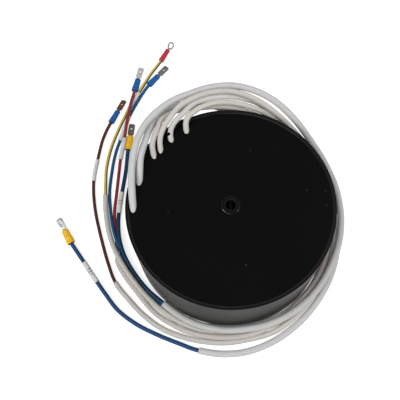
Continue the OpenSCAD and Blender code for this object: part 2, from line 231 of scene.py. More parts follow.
def roll_sheet(bm, line, radius_at, sides, inward=False):
    """Rolls a grid into a tube along a line. Its UV map holds the length in
    millimetres and the turn round the tube, from 0 to 1."""
    rings = len(line)
    grid = bmesh.ops.create_grid(bm, x_segments=rings - 1, y_segments=sides, size=0.5)
    verts = grid["verts"]
    along = lengths_along(line)
    ways = headings(line)
    uv = bm.loops.layers.uv.verify()
    place = {}
    for v in verts:
        i = round((v.co.x + 0.5) * (rings - 1))
        k = round((v.co.y + 0.5) * sides)
        place[v] = (i, k)
    faces = list(dict.fromkeys(f for v in verts for f in v.link_faces))
    for f in faces:
        for loop in f.loops:
            i, k = place[loop.vert]
            loop[uv].uv = (along[i], k / sides)
    for v, (i, k) in place.items():
        side = Vector((0, 0, 1)).cross(ways[i]).normalized()
        top = ways[i].cross(side)
        turn = tau * k / sides
        r = radius_at(i, turn, along[i])
        v.co = line[i] + r * (cos(turn) * side + sin(turn) * top)
    if inward:
        bmesh.ops.reverse_faces(bm, faces=faces)
    bmesh.ops.remove_doubles(bm, verts=verts, dist=MERGE_GAP)


def close_holes(bm):
    """Caps every open end."""
    edges = [e for e in bm.edges if e.is_boundary]
    bmesh.ops.holes_fill(bm, edges=edges, sides=0)


def join_mouth(bm, at_mouth):
    """Bridges the open edges at one end of a tube and its lining."""
    mouth = [e for e in bm.edges if e.is_boundary and all(at_mouth(v.co) for v in e.verts)]
    bmesh.ops.bridge_loops(bm, edges=mouth)


def open_sleeve(name, line, radius_at, wall, depth, sides):
    """A tube whose far end is open: the wall folds inwards at the mouth and
    runs back inside it for a short depth."""
    bm = bmesh.new()
    roll_sheet(bm, line, radius_at, sides)
    last = len(line) - 1
    step = (line[last] - line[last - 1]).length
    first = max(0, last - max(2, round(depth / step)))

    def lining_radius(i, turn, s):
        return radius_at(first + i, turn, s) - wall

    roll_sheet(bm, line[first:], lining_radius, sides, inward=True)
    way = headings(line)[last]
    near = 3 * wall + radius_at(last, 0, 0)

    def at_mouth(point):
        gap = point - line[last]
        return gap.length < near and abs(gap.dot(way)) < 0.6 * step

    join_mouth(bm, at_mouth)
    close_holes(bm)
    bmesh.ops.recalc_face_normals(bm, faces=bm.faces)
    return finish_piece(bm, name)


# ------------------------------------------------------- small solid geometry

OVAL_SIDES = 40
HOLE_SIDES = 28


def edges_at(verts):
    """The edges at some vertices, each once and always in the same order."""
    return list(dict.fromkeys(e for v in verts for e in v.link_edges))


def loft(bm, stations):
    """Ovals joined along z. A station is z, half width and half height."""
    circle = bmesh.ops.create_circle(bm, radius=1.0, segments=OVAL_SIDES)["verts"]
    ring = [(v, v.co.copy()) for v in circle]
    edges = edges_at(circle)
    for n, (z, half_w, half_h) in enumerate(stations):
        if n:
            grown = bmesh.ops.extrude_edge_only(bm, edges=edges)["geom"]
            fresh = [g for g in grown if isinstance(g, bmesh.types.BMVert)]
            edges = [g for g in grown if isinstance(g, bmesh.types.BMEdge)
                     and all(v in fresh for v in g.verts)]
            ring = [(v, min(ring, key=lambda old: (old[0].co - v.co).length_squared)[1])
                    for v in fresh]
        for v, unit in ring:
            v.co = (unit.x * half_w, unit.y * half_h, z)


def ring_shell(bm, stations):
    """A closed shell with a way through it: stations run along its outside
    and back along its inside."""
    loft(bm, stations + stations[:1])
    bmesh.ops.remove_doubles(bm, verts=bm.verts, dist=MERGE_GAP)
    bmesh.ops.recalc_face_normals(bm, faces=bm.faces)


def closed_outline(bm, points):
    """The corners and the edges of an outline that returns to its start."""
    corners = [bm.verts.new(point) for point in points]
    edges = [bm.edges.new(pair) for pair in zip(corners, corners[1:] + corners[:1])]
    return corners, edges


def turned(bm, outline, steps, sweep=tau):
    """Turns an outline, of distances from the axis and heights, about z."""
    corners, edges = closed_outline(bm, [(r, 0, z) for r, z in outline])
    bmesh.ops.spin(bm, geom=corners + edges, cent=(0, 0, 0), axis=(0, 0, 1), angle=sweep,
                   steps=steps, use_merge=sweep == tau)


def plate(bm, outline, low, high, hole=None):
    """A flat plate between two heights y, with an outline of x, z corners and
    a round hole."""
    edges = closed_outline(bm, [(x, low, z) for x, z in outline])[1]
    if hole:
        x, z, r = hole
        lay = Matrix.Translation((x, low, z)) @ Matrix.Rotation(pi / 2, 4, "X")
        ring = bmesh.ops.create_circle(bm, radius=r, segments=HOLE_SIDES, matrix=lay)["verts"]
        edges += edges_at(ring)
    filled = bmesh.ops.triangle_fill(bm, edges=edges, use_beauty=True)["geom"]
    faces = [g for g in filled if isinstance(g, bmesh.types.BMFace)]
    grown = bmesh.ops.extrude_face_region(bm, geom=faces)["geom"]
    raised = [g for g in grown if isinstance(g, bmesh.types.BMVert)]
    bmesh.ops.translate(bm, verts=raised, vec=(0, high - low, 0))
    bmesh.ops.recalc_face_normals(bm, faces=bm.faces)


def round_edges(piece, width):
    """Rounds a piece's sharp edges; the width is in millimetres."""
    bevel = piece.modifiers.new("round_edges", "BEVEL")
    bevel.width = width * MM
    bevel.segments = 2
    bevel.limit_method = "ANGLE"
    bevel.angle_limit = radians(35)
    return piece


def at_end(route, roll):
    """Local z along the end of a wire, x sideways and y up."""
    end = Vector(route[-1])
    way = (end - Vector(route[-2])).normalized()
    turn = Matrix.Rotation(atan2(way.y, way.x), 4, "Z") @ Matrix.Rotation(-asin(way.z), 4, "Y")
    stand = Matrix.Rotation(pi / 2, 4, "Z") @ Matrix.Rotation(pi / 2, 4, "X")
    return Matrix.Translation(end) @ turn @ Matrix.Rotation(radians(roll), 4, "X") @ stand


# ------------------------------------------------------------------ shaders

# Where a mix node keeps its two colours and what comes of them
MIX_A, MIX_B, MIXED = 6, 7, 2


class Wiring:
    """Short ways to build a node tree."""

    def __init__(self, tree):
        self.tree = tree

    def add(self, kind, **settings):
        node = self.tree.nodes.new(kind)
        for key, value in settings.items():
            setattr(node, key, value)
        return node

    def join(self, source, target):
        self.tree.links.new(source, target)

    def feed(self, target, value):
        if isinstance(value, bpy.types.NodeSocket):
            self.join(value, target)
        else:
            target.default_value = value

    def math(self, operation, *values, clamp=False):
        node = self.add("ShaderNodeMath", operation=operation, use_clamp=clamp)
        for socket, value in zip(node.inputs, values):
            self.feed(socket, value)
        return node.outputs[0]

    def mix(self, factor, a, b):
        node = self.add("ShaderNodeMix", data_type="RGBA")
        self.feed(node.inputs["Factor"], factor)
        self.feed(node.inputs[MIX_A], a)
        self.feed(node.inputs[MIX_B], b)
        return node.outputs[MIXED]

    def noise(self, vector, scale, detail=2.0):
        node = self.add("ShaderNodeTexNoise")
        self.join(vector, node.inputs["Vector"])
        self.feed(node.inputs["Scale"], scale)
        node.inputs["Detail"].default_value = detail
        return node.outputs["Fac"]

    def ramp(self, value, low, high):
        node = self.add("ShaderNodeMapRange", clamp=True)
        self.feed(node.inputs["Value"], value)
        node.inputs["From Min"].default_value = low
        node.inputs["From Max"].default_value = high
        return node.outputs["Result"]

    def group(self, tree, **values):
        node = self.add("ShaderNodeGroup", node_tree=tree)
        for key, value in values.items():
            self.feed(node.inputs[key.replace("_", " ").capitalize()], value)
        return node


def new_group(name, inputs, outputs):
    """An empty node group, with its inputs' and outputs' sockets."""
    tree = bpy.data.node_groups.new(name, "ShaderNodeTree")
    for label, kind, default in inputs:
        socket = tree.interface.new_socket(label, in_out="INPUT", socket_type=kind)
        if default is not None:
            socket.default_value = default
    for label, kind in outputs:
        tree.interface.new_socket(label, in_out="OUTPUT", socket_type=kind)
    w = Wiring(tree)
    return tree, w, w.add("NodeGroupInput").outputs, w.add("NodeGroupOutput").inputs


FLOAT = "NodeSocketFloat"
VECTOR = "NodeSocketVector"
COLOR = "NodeSocketColor"


def make_mottle():
    """Slow and fine patches that shift a colour and its roughness."""
    tree, w, given, result = new_group(
        "mottle",
        [("Vector", VECTOR, None), ("Patch size", FLOAT, 60.0), ("Color", COLOR, None),
         ("Dark", FLOAT, 0.85), ("Rough", FLOAT, 0.4), ("Rough change", FLOAT, 0.1)],
        [("Color", COLOR), ("Rough", FLOAT), ("Mask", FLOAT)])
    slow = w.noise(given["Vector"], given["Patch size"], detail=4.0)
    fine = w.noise(given["Vector"], w.math("MULTIPLY", given["Patch size"], 9.0))
    both = w.math("ADD", w.math("MULTIPLY", slow, 0.65), w.math("MULTIPLY", fine, 0.35))
    mask = w.ramp(both, 0.36, 0.64)
    shade = w.add("ShaderNodeHueSaturation")
    w.feed(shade.inputs["Value"], given["Dark"])
    w.join(given["Color"], shade.inputs["Color"])
    w.join(w.mix(mask, shade.outputs["Color"], given["Color"]), result["Color"])
    change = w.math("MULTIPLY", w.math("SUBTRACT", mask, 0.5), given["Rough change"])
    w.join(w.math("ADD", given["Rough"], change, clamp=True), result["Rough"])
    w.join(mask, result["Mask"])
    return tree


def make_braid():
    """Crossing strands on a tube whose UV map holds millimetres and turns."""
    tree, w, given, result = new_group(
        "braid",
        [("Vector", VECTOR, None), ("Strands", FLOAT, 12.0), ("Pitch", FLOAT, 3.0)],
        [("Height", FLOAT), ("Gaps", FLOAT)])
    split = w.add("ShaderNodeSeparateXYZ")
    w.join(given["Vector"], split.inputs[0])
    along = w.math("DIVIDE", split.outputs["X"], given["Pitch"])
    around = w.math("MULTIPLY", split.outputs["Y"], given["Strands"])
    right = w.math("SINE", w.math("MULTIPLY", w.math("ADD", around, along), tau))
    left = w.math("SINE", w.math("MULTIPLY", w.math("SUBTRACT", around, along), tau))
    cross = w.math("MULTIPLY", right, left)
    w.join(w.math("MULTIPLY_ADD", cross, 0.5, 0.5), result["Height"])
    w.join(w.ramp(w.math("ABSOLUTE", cross), 0.12, 0.0), result["Gaps"])
    return tree


def make_specks():
    """Sparse small specks of dust and faint scuffs on a dark surface."""
    tree, w, given, result = new_group(
        "specks",
        [("Vector", VECTOR, None), ("Scale", FLOAT, 90.0), ("Amount", FLOAT, 0.1)],
        [("Mask", FLOAT)])
    cells = w.add("ShaderNodeTexVoronoi", feature="F1")
    w.join(given["Vector"], cells.inputs["Vector"])
    w.join(given["Scale"], cells.inputs["Scale"])
    dot = w.ramp(cells.outputs["Distance"], 0.1, 0.02)
    split = w.add("ShaderNodeSeparateColor")
    w.join(cells.outputs["Color"], split.inputs[0])
    chosen = w.math("LESS_THAN", split.outputs[0], given["Amount"])
    w.join(w.math("MULTIPLY", dot, chosen), result["Mask"])
    return tree


MOTTLE = make_mottle()
BRAID = make_braid()
SPECKS = make_specks()


def new_material(name, **constants):
    """A material with its Principled shader, whose fixed values are given."""
    material = bpy.data.materials.new(name)
    material.use_nodes = True
    w = Wiring(material.node_tree)
    shader = material.node_tree.nodes["Principled BSDF"]
    for key, value in constants.items():
        shader.inputs[key.replace("_", " ")].default_value = value
    return material, w, shader.inputs


def rgb(red, green, blue):
    """A shader colour from screen values of 0 to 255."""
    def linear(v):
        v /= 255
        return v / 12.92 if v <= 0.04045 else ((v + 0.055) / 1.055) ** 2.4
    return (linear(red), linear(green), linear(blue), 1.0)


def object_place(w):
    """Places a pattern on the piece itself, in metres."""
    return w.add("ShaderNodeTexCoord").outputs["Object"]


def uv_place(w):
    """Places a pattern along and round a cord."""
    return w.add("ShaderNodeTexCoord").outputs["UV"]


def bump(w, target, height, distance):
    """Raises a surface by up to a distance in millimetres."""
    node = w.add("ShaderNodeBump")
    node.inputs["Distance"].default_value = distance * MM
    w.join(height, node.inputs["Height"])
    w.join(node.outputs["Normal"], target["Normal"])


def mottled_coat(w, target, color, patch_size, dark, rough, rough_change):
    """Gives a surface its colour and roughness in patches."""
    mottle = w.group(MOTTLE, vector=object_place(w), color=color, patch_size=patch_size,
                     dark=dark, rough=rough, rough_change=rough_change)
    w.join(mottle.outputs["Color"], target["Base Color"])
    w.join(mottle.outputs["Rough"], target["Roughness"])
    return mottle.outputs


def dust_over(w, target, coat, dust, scale, amount):
    """Scatters specks of a dust colour over a coat's own colour."""
    specks = w.group(SPECKS, vector=object_place(w), scale=scale, amount=amount)
    w.join(w.mix(specks.outputs["Mask"], coat["Color"], dust), target["Base Color"])


def band(w, value, start, full, last, end):
    """0 up to the start, 1 from full to last and 0 again past the end, all in
    millimetres."""
    rising = w.ramp(value, start * MM, full * MM)
    falling = w.ramp(value, end * MM, last * MM)
    return w.math("MULTIPLY", rising, falling)


def moulded_plastic(name, wall, top, edge, rough):
    """Satin moulded plastic with a fine spark grain and light scuffs. Its top
    is painted blacker than its wall, which is painted lighter: painted shade
    and painted light. The two inner edges there carry a painted highlight,
    and the bore is painted dark as painted shade."""
    # Painted shade: the bore is painted near black for the dark inside the hole.
    bore_painted_shade = (0.0008, 0.0008, 0.0008, 1)
    bore_reach, wall_reach = 40, 50
    material, w, target = new_material(name, Specular_IOR_Level=0.06)
    place = w.add("ShaderNodeSeparateXYZ")
    w.join(object_place(w), place.inputs[0])
    height = place.outputs["Z"]
    flat = w.add("ShaderNodeCombineXYZ")
    w.join(place.outputs["X"], flat.inputs["X"])
    w.join(place.outputs["Y"], flat.inputs["Y"])
    length = w.add("ShaderNodeVectorMath", operation="LENGTH")
    w.join(flat.outputs[0], length.inputs[0])
    reach = length.outputs["Value"]
    raised = w.ramp(height, (CASE_H - 2.4) * MM, (CASE_H - 1.6) * MM)
    crest = w.ramp(height, (CASE_H - 0.7) * MM, (CASE_H - 0.3) * MM)
    # Painted highlight: narrow bands at the bore's edge and at the rim's inner edge are painted
    # lighter, for the light their rounded edges catch.
    tube_edge = band(w, reach, BORE_R + 0.2, BORE_R + 0.5, BORE_R + 1.0, BORE_R + 1.4)
    rim_edge = band(w, reach, WALL_IN - 1.0, WALL_IN - 0.5, WALL_IN + 0.9, WALL_IN + 1.3)
    painted_highlight_mask = w.math("MAXIMUM", tube_edge, w.math("MULTIPLY", rim_edge, crest))
    side = w.mix(w.ramp(reach, bore_reach * MM, wall_reach * MM), bore_painted_shade, wall)
    # Painted light and shade: one black plastic, painted lighter on the wall for the light it
    # catches from the floor and blacker on the top.
    shade = w.mix(raised, side, w.mix(painted_highlight_mask, top, edge))
    coat = mottled_coat(w, target, shade, patch_size=45.0, dark=0.8, rough=rough,
                        rough_change=0.08)
    dust_over(w, target, coat, rgb(60, 60, 60), scale=160.0, amount=0.05)
    bump(w, target, w.noise(object_place(w), 2600.0), distance=0.02)
    return material


def cast_resin(name, gloss, rough):
    """Black filled resin: nearly mirror flat, with dust and faint ripples."""
    material, w, target = new_material(name, Specular_IOR_Level=gloss)
    coat = mottled_coat(w, target, rgb(9, 9, 9), patch_size=22.0, dark=0.9, rough=rough,
                        rough_change=0.4 * rough)
    dust_over(w, target, coat, rgb(52, 52, 50), scale=120.0, amount=0.045)
    bump(w, target, w.noise(object_place(w), 70.0), distance=0.04)
    return material


def wire_insulation(name, color):
    """Smooth plastic insulation that shows the strands' lay very faintly."""
    material, w, target = new_material(name, Specular_IOR_Level=0.2)
    mottled_coat(w, target, color, patch_size=90.0, dark=0.86, rough=0.4, rough_change=0.12)
    lay = w.group(BRAID, vector=uv_place(w), strands=7.0, pitch=18.0)
    bump(w, target, lay.outputs["Height"], distance=0.03)
    return material


def two_colour_insulation(name, left, right):
    """Insulation that is one colour along its left half and another along its
    right half."""
    material, w, target = new_material(name, Specular_IOR_Level=0.2)
    split = w.add("ShaderNodeSeparateXYZ")
    w.join(uv_place(w), split.inputs[0])
    across = w.math("COSINE", w.math("MULTIPLY", split.outputs["Y"], tau))
    half = w.ramp(across, -0.5, -0.36)
    mottled_coat(w, target, w.mix(half, right, left), patch_size=90.0, dark=0.88, rough=0.4,
                 rough_change=0.12)
    bump(w, target, w.noise(object_place(w), 900.0), distance=0.02)
    return material


def braided_sleeving(name, color, tint):
    """Varnished glass braid: pale, with the wire inside showing through."""
    material, w, target = new_material(name, Specular_IOR_Level=0.35, Sheen_Weight=0.15,
                                       Sheen_Roughness=0.5)
    braid = w.group(BRAID, vector=uv_place(w), strands=10.0, pitch=3.2)
    coat = mottled_coat(w, target, color, patch_size=55.0, dark=0.93, rough=0.55,
                        rough_change=0.15)
    seen = w.math("MULTIPLY", braid.outputs["Gaps"], 0.28)
    patchy = w.math("ADD", seen, w.math("MULTIPLY", coat["Mask"], 0.16))
    w.join(w.mix(patchy, coat["Color"], tint), target["Base Color"])
    bump(w, target, braid.outputs["Height"], distance=0.12)
    return material


def grubby_film(name, color):
    """Dull thin plastic, a little grubby: the marker tubes, and the crumbs on
    the resin."""
    material, w, target = new_material(name, Specular_IOR_Level=0.35)
    mottled_coat(w, target, color, patch_size=120.0, dark=0.9, rough=0.5, rough_change=0.15)
    bump(w, target, w.noise(object_place(w), 700.0), distance=0.05)
    return material


def marking_ink(name):
    """Dull dark print, thin in places."""
    material, w, target = new_material(name)
    mottled_coat(w, target, rgb(48, 48, 52), patch_size=500.0, dark=0.6, rough=0.6,
                 rough_change=0.1)
    return material


def crimp_plastic(name, color):
    """Soft translucent insulation of a crimped terminal."""
    material, w, target = new_material(name, Specular_IOR_Level=0.25, Subsurface_Weight=0.2,
                                       Subsurface_Scale=0.002)
    mottled_coat(w, target, color, patch_size=160.0, dark=0.85, rough=0.36, rough_change=0.15)
    bump(w, target, w.noise(object_place(w), 350.0), distance=0.08)
    return material


def tinned_metal(name, color, rough):
    """Tin plate with rolling marks and dull patches."""
    material, w, target = new_material(name, Metallic=1.0)
    mottled_coat(w, target, color, patch_size=420.0, dark=0.72, rough=rough, rough_change=0.25)
    bump(w, target, w.noise(object_place(w), 900.0, detail=3.0), distance=0.06)
    return material


def copper_wire(name):
    """Enamelled copper, in a few close shades."""
    material, w, target = new_material(name, Metallic=1.0)
    mottled_coat(w, target, rgb(176, 92, 44), patch_size=70.0, dark=0.75, rough=0.32,
                 rough_change=0.15)
    return material


def strip_steel(name):
    """Edges of the wound strip, as fine rings about the axis."""
    dark, pale = rgb(128, 132, 138), rgb(168, 171, 174)
    material, w, target = new_material(name, Metallic=1.0)
    rings = w.add("ShaderNodeTexWave", wave_type="RINGS", rings_direction="Z")
    w.join(object_place(w), rings.inputs["Vector"])
    rings.inputs["Scale"].default_value = 550.0
    w.join(w.mix(rings.outputs["Fac"], dark, pale), target["Base Color"])
    w.join(w.math("MULTIPLY_ADD", rings.outputs["Fac"], 0.15, 0.35), target["Roughness"])
    return material


def film_tape(name):
    """Overlapping wraps of yellowish film."""
    wraps_round = 60.0
    material, w, target = new_material(name, Specular_IOR_Level=0.5)
    wraps = w.add("ShaderNodeTexGradient", gradient_type="RADIAL")
    w.join(object_place(w), wraps.inputs["Vector"])
    lap = w.math("FRACT", w.math("MULTIPLY", wraps.outputs["Fac"], wraps_round))
    w.join(w.mix(lap, rgb(205, 190, 138), rgb(232, 220, 176)), target["Base Color"])
    w.join(w.ramp(lap, -1.5, 2.0), target["Roughness"])
    return material


# ----------------------------------------------------------- the tub's pieces


def dress(node, material):
    """Gives a CAD node its material."""
    piece = bpy.data.objects[node]
    piece.data.materials.clear()
    piece.data.materials.append(material)


def add_piece(piece, material, replaced=()):
    """Gives a new piece its material and its body, and hides the
    CAD nodes that it stands for."""
    piece.data.materials.append(material)
    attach(piece, "root")
    if replaced:
        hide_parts(*replaced)


def creep(point, exits):
    """How far the resin stands up at a point, from the sleeves near it: a
    narrow foot round each, and slow ripples farther out."""
    foot_rise, foot_reach = 0.5, 1.1
    ripple_rise, ripple_reach = 0.12, 9.0
    ripple = ripple_rise * sin(2.1 * point.x) * sin(1.7 * point.y + 0.6)
    rise = 0.0
    for centre, radius in exits:
        gap = max((point.xy - centre.xy).length - radius, 0.0)
        rise += foot_rise * exp(-gap / foot_reach) + ripple * exp(-gap / ripple_reach)
    return rise


def resin_surface(exits):
    """The resin's skin, which creeps up each sleeve and is uneven where the
    sleeves come out."""
    top_z = RESIN_Z + 0.1
    low_z = RESIN_Z - 0.5
    inner, outer = TUBE_R + 0.02, WALL_IN - 0.02
    stations = 64
    reaches = [inner + (outer - inner) * (0.5 - 0.5 * cos(pi * i / stations))
               for i in range(stations + 1)]
    bm = bmesh.new()
    turned(bm, [(r, top_z) for r in reaches] + [(outer, low_z), (inner, low_z)], steps=300)
    for v in bm.verts:
        if v.co.z > RESIN_Z:
            v.co.z += creep(v.co, exits)
    bmesh.ops.recalc_face_normals(bm, faces=bm.faces)
    return finish_piece(bm, "resin_surface")


def foot_outline(corner, away, slope):
    """A foot of resin in a corner, by distance from the axis and height. Its
    flank has a slope between two rounded ends."""
    flank = [(gap, 0.144 + (0.55 - gap) * slope) for gap in (0.12, 0.14, 0.53, 0.55)]
    section = [(0, 0.62), (0.06, 0.46)] + flank + [(0.66, 0.1), (0.8, 0.07), (0.8, -0.3), (0, -0.3)]
    return [(corner + away * gap, RESIN_Z + rise) for gap, rise in section]


def resin_foot():
    """The glossy foot of resin drawn up the wall and up the bolt tube."""
    bm = bmesh.new()
    turned(bm, foot_outline(WALL_IN - 0.01, away=-1, slope=0.584), steps=360)
    turned(bm, foot_outline(TUBE_R + 0.01, away=1, slope=0.534), steps=120)
    bmesh.ops.recalc_face_normals(bm, faces=bm.faces)
    return finish_piece(bm, "resin_foot")


def resin_overrun(start, end):
    """Resin that ran over the rim between the sleeves, from one azimuth to
    another. It set in a lumpy lip, which thins away at both ends. The outline
    is measured out and up from the rim's outer edge."""
    section = [(-4.0, -1.3), (-3.7, -0.5), (-3.0, 0.2), (-1.8, 0.5), (-0.2, 0.65), (1.3, 0.3),
               (2.0, -0.6), (1.7, -1.8), (0.8, -3.0), (-0.1, -4.0), (-0.5, -2.0), (-1.0, -0.7)]
    outline = [(CASE_R + out, CASE_H + up) for out, up in section]
    heart_r, heart_z = CASE_R - 0.5, CASE_H - 0.7
    taper = 9
    sweep = radians(end - start)
    bm = bmesh.new()
    turned(bm, outline, steps=90, sweep=sweep)
    for v in bm.verts:
        along = atan2(v.co.y, v.co.x) / sweep
        size = max(0.02, min(1.0, taper * along, taper * (1 - along))) ** 0.6
        size *= 0.86 + 0.14 * sin(37 * along) * sin(61 * along + 1)
        heart = Vector((v.co.x, v.co.y, 0)).normalized() * heart_r
        heart.z = heart_z
        v.co = heart.lerp(v.co, size)
    turn = Matrix.Rotation(radians(start), 4, "Z")
    bmesh.ops.transform(bm, matrix=turn, verts=bm.verts)
    close_holes(bm)
    bmesh.ops.recalc_face_normals(bm, faces=bm.faces)
    return finish_piece(bm, "resin_overrun")


def resin_smear():
    """A lump of resin smeared on the flank of the blue lead's sleeve."""
    half_size = (2.1, 1.5, 2.7)
    place = (-51.3, 69.2, 84.2)
    bm = bmesh.new()
    verts = bmesh.ops.create_icosphere(bm, subdivisions=4, radius=1)["verts"]
    for v in verts:
        v.co *= 1 + 0.14 * sin(5 * v.co.x + 2 * v.co.y) + 0.1 * sin(7 * v.co.z + 3 * v.co.x)
    bmesh.ops.scale(bm, vec=half_size, verts=verts)
    bmesh.ops.translate(bm, vec=place, verts=verts)
    return finish_piece(bm, "resin_smear")


def resin_bits():
    """Crumbs and small runs of set resin that lie on the surface. Each has its
    x and y, its height and its length, and its x also turns it."""
    bits = [(20.7, 50.8, 0.3, 1.1), (67.3, 10.2, 0.35, 1.0), (76.3, 6.9, 0.3, 0.8),
            (-54.7, -4.1, 0.3, 1.0), (9.4, -54.2, 0.25, 1.4)]
    bm = bmesh.new()
    for x, y, height, length in bits:
        verts = bmesh.ops.create_icosphere(bm, subdivisions=2, radius=0.5)["verts"]
        turn = Matrix.Rotation(x, 3, "Z")
        bmesh.ops.scale(bm, vec=(length, 0.6 * length, height), verts=verts)
        bmesh.ops.rotate(bm, cent=(0, 0, 0), matrix=turn, verts=verts)
        bmesh.ops.translate(bm, vec=(x, y, RESIN_Z + 0.15), verts=verts)
    return finish_piece(bm, "resin_bits")


# ------------------------------------------------------------- the lead pieces


def uneven(radius, wobble, phase):
    """A radius that swells and thins a little along and round a tube."""
    def at(i, turn, s):
        slow = sin(s / 11.0 + phase) + sin(s / 4.3 + 2 * phase)
        return radius + wobble * (0.5 * slow + 0.5 * sin(2 * turn + s / 17.0 + phase))
    return at


def wire_piece(name, lead):
    """A lead's insulation from the resin to the end of its wire."""
    line = evenly(smooth(lead.route), step=1.6)
    radius = lead.size["wire"] / 2
    bm = bmesh.new()
    roll_sheet(bm, line, lambda i, turn, s: radius, WIRE_SIDES)
    close_holes(bm)
    bmesh.ops.recalc_face_normals(bm, faces=bm.faces)
    return finish_piece(bm, name + "_insulation"), line


def sleeve_piece(name, lead, phase):
    """A braided sleeve: its surface stands up where the strands cross."""
    relief = 0.05
    strand_pairs = 5
    pitch = 6.4
    open_depth = 9.0
    line = evenly(smooth(lead.route)[:lead.sleeve_end * STEPS + 1], step=1.1)
    radius = lead.size["sleeve"] / 2
    wall = radius - lead.size["bore"] / 2 - 0.25
    swell = uneven(radius - 0.06, wobble=0.05, phase=phase)

    def radius_at(i, turn, s):
        lay = s * tau / pitch
        strands = sin(strand_pairs * turn + lay) * sin(strand_pairs * turn - lay)
        return swell(i, turn, s) + relief * strands

    return open_sleeve(name + "_sleeving", line, radius_at, wall, open_depth, SLEEVE_SIDES)


def marker_piece(name, lead, phase):
    """A short loose tube on a lead, which carries its number."""
    first, last = lead.marker_ends
    line = evenly(smooth(lead.route)[first * STEPS:last * STEPS + 1], step=0.7)
    radius = lead.size["wire"] / 2 + MARKER_WALL
    outside = uneven(radius, wobble=0.05, phase=phase)
    bm = bmesh.new()
    roll_sheet(bm, line, outside, SLEEVE_SIDES)
    roll_sheet(bm, line, lambda i, turn, s: outside(i, turn, s) - MARKER_WALL + 0.03,
               SLEEVE_SIDES, inward=True)
    for end in (line[0], line[-1]):
        join_mouth(bm, lambda point: (point - end).length < 1.5 * radius)
    bmesh.ops.recalc_face_normals(bm, faces=bm.faces)
    return round_edges(finish_piece(bm, name + "_marker_tube"), 0.12), line


def text_mesh(name, text, size):
    """Flat digits about the origin, as a mesh."""
    font = bpy.data.curves.new(name + "_number", "FONT")
    font.body = text
    font.size = size
    font.align_x = "CENTER"
    font.align_y = "CENTER"
    font.space_character = 1.15
    font.resolution_u = 4
    holder = bpy.data.objects.new(name + "_number_text", font)
    bpy.context.scene.collection.objects.link(holder)
    graph = bpy.context.evaluated_depsgraph_get()
    mesh = bpy.data.meshes.new_from_object(holder.evaluated_get(graph))
    bpy.data.objects.remove(holder)
    return mesh


def marker_number(name, lead, line):
    """Plain digits printed round and along a marker, reading along the wire."""
    ink_thick, ink_lift = 0.06, 0.02
    radius = lead.size["wire"] / 2 + MARKER_WALL
    mesh = text_mesh(name, lead.number, 1.9 * radius)
    bm = bmesh.new()
    bm.from_mesh(mesh)
    bpy.data.meshes.remove(mesh)
    bmesh.ops.remove_doubles(bm, verts=bm.verts, dist=1e-4)
    grown = bmesh.ops.extrude_face_region(bm, geom=list(bm.faces))["geom"]
    raised = [g for g in grown if isinstance(g, bmesh.types.BMVert)]
    bmesh.ops.translate(bm, verts=raised, vec=(0, 0, ink_thick))
    long_edges = [e for e in bm.edges if e.calc_length() > 0.5]
    bmesh.ops.subdivide_edges(bm, edges=long_edges, cuts=2)
    middle = len(line) // 2
    way = headings(line)[middle]
    side = Vector((0, 0, 1)).cross(way).normalized()
    top = way.cross(side)
    for v in bm.verts:
        a = radians(lead.number_turn) + v.co.y / radius
        r = radius + ink_lift + v.co.z
        v.co = line[middle] + way * v.co.x + r * (cos(a) * side + sin(a) * top)
    bmesh.ops.recalc_face_normals(bm, faces=bm.faces)
    return finish_piece(bm, name + "_number", smooth_shade=False)


# A crimped insulator's width and height, its length before and behind the end
# of the wire, the diameter of the barrel inside it, and its colour
LIGHT_GRIP = {"width": 6.5, "height": 5.0, "front": 6.5, "rear": 8.0, "barrel": 3.2,
              "color": "blue"}
HEAVY_GRIP = {"width": 7.5, "height": 5.8, "front": 7.0, "rear": 8.0, "barrel": 4.2,
              "color": "yellow"}
RING_GRIP = {"width": 5.5, "height": 5.0, "front": 6.5, "rear": 8.0, "barrel": 2.8,
             "color": "red"}
BLADE_W, BLADE_L, BLADE_T = 6.3, 12.0, 0.8
BLADE_HOLE = 0.9
NECK_L = 2.0
RING_OUTER, RING_INNER = 4.3, 2.65


def insulator_piece(grip, wire_d):
    """A crimped insulator: a flared mouth, two pinched bands and a thin lip
    round the barrel."""
    half_w, half_h = grip["width"] / 2 + 0.3, grip["height"] / 2 + 0.1
    back, front = -grip["rear"], grip["front"]
    barrel, mouth = grip["barrel"] / 2, wire_d / 2 + 0.3
    # Each station outside: z, then how much narrower and lower it is
    outside = [
        (back, 0, 0), (back + 0.25, -0.05, -0.05), (back + 1.4, 0.02, 0.05),
        (back + 2.4, 0.04, 0.08), (back + 2.9, -0.02, 0.36), (back + 4.6, 0, 0.36),
        (back + 5.1, 0.12, 0.12), (-0.8, 0.3, 0.2), (-0.3, 0.32, 0.5),
        (front - 3.2, 0.38, 0.5), (front - 2.7, 0.45, 0.27), (front - 0.3, 0.5, 0.32),
        (front, 0.65, 0.45)]
    inside = [
        (front, barrel + 0.12, barrel + 0.02), (front - 1.0, barrel, barrel),
        (-0.8, barrel, barrel), (-1.4, mouth, mouth), (back + 1.2, mouth, mouth),
        (back, half_w - 0.45, half_h - 0.4)]
    bm = bmesh.new()
    ring_shell(bm, [(z, half_w - thin, half_h - low) for z, thin, low in outside] + inside)
    return bm


def arc(x, z, r, start, end, count):
    """Points on an arc round x, z between two angles in degrees."""
    return [(x + r * cos(radians(a)), z + r * sin(radians(a)))
            for a in (start + (end - start) * k / count for k in range(count + 1))]


def blade_outline(half, low, high, cut):
    """A blade with its two far corners cut off."""
    return [(-half, low), (half, low), (half, high - cut), (half - cut, high),
            (-half + cut, high), (-half, high - cut)]


